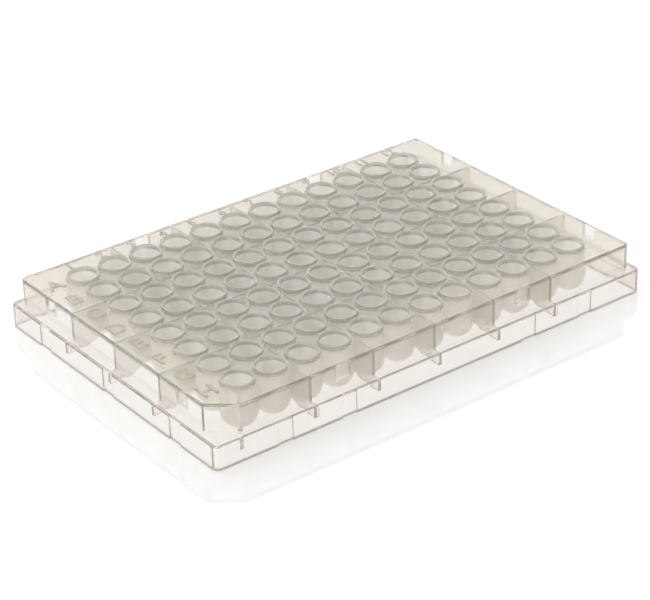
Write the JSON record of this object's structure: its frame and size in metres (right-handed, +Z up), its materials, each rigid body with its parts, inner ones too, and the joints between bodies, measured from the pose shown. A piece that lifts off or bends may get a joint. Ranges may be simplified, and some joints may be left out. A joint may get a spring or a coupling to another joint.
{
  "type": "well plate",
  "caption": "Flat translucent plastic well plate: a grid of round-bottomed wells with raised rims hangs from a deck inside a ribbed wall on a wider base flange, with a cut corner.",
  "frame": {"origin": "middle of the base flange's footprint, on the surface that the plate stands on", "axes": "+X along the rows from column 1 to column 12, +Y along the columns from row H to row A, +Z up; the cut corner is at -X -Y"},
  "size_m": [0.1278, 0.0854, 0.0135],
  "materials": {
    "polypropylene": "natural translucent polypropylene with a fine satin surface"
  },
  "bodies": {
    "root": {"plate": "polypropylene"}
  },
  "joints": []
}
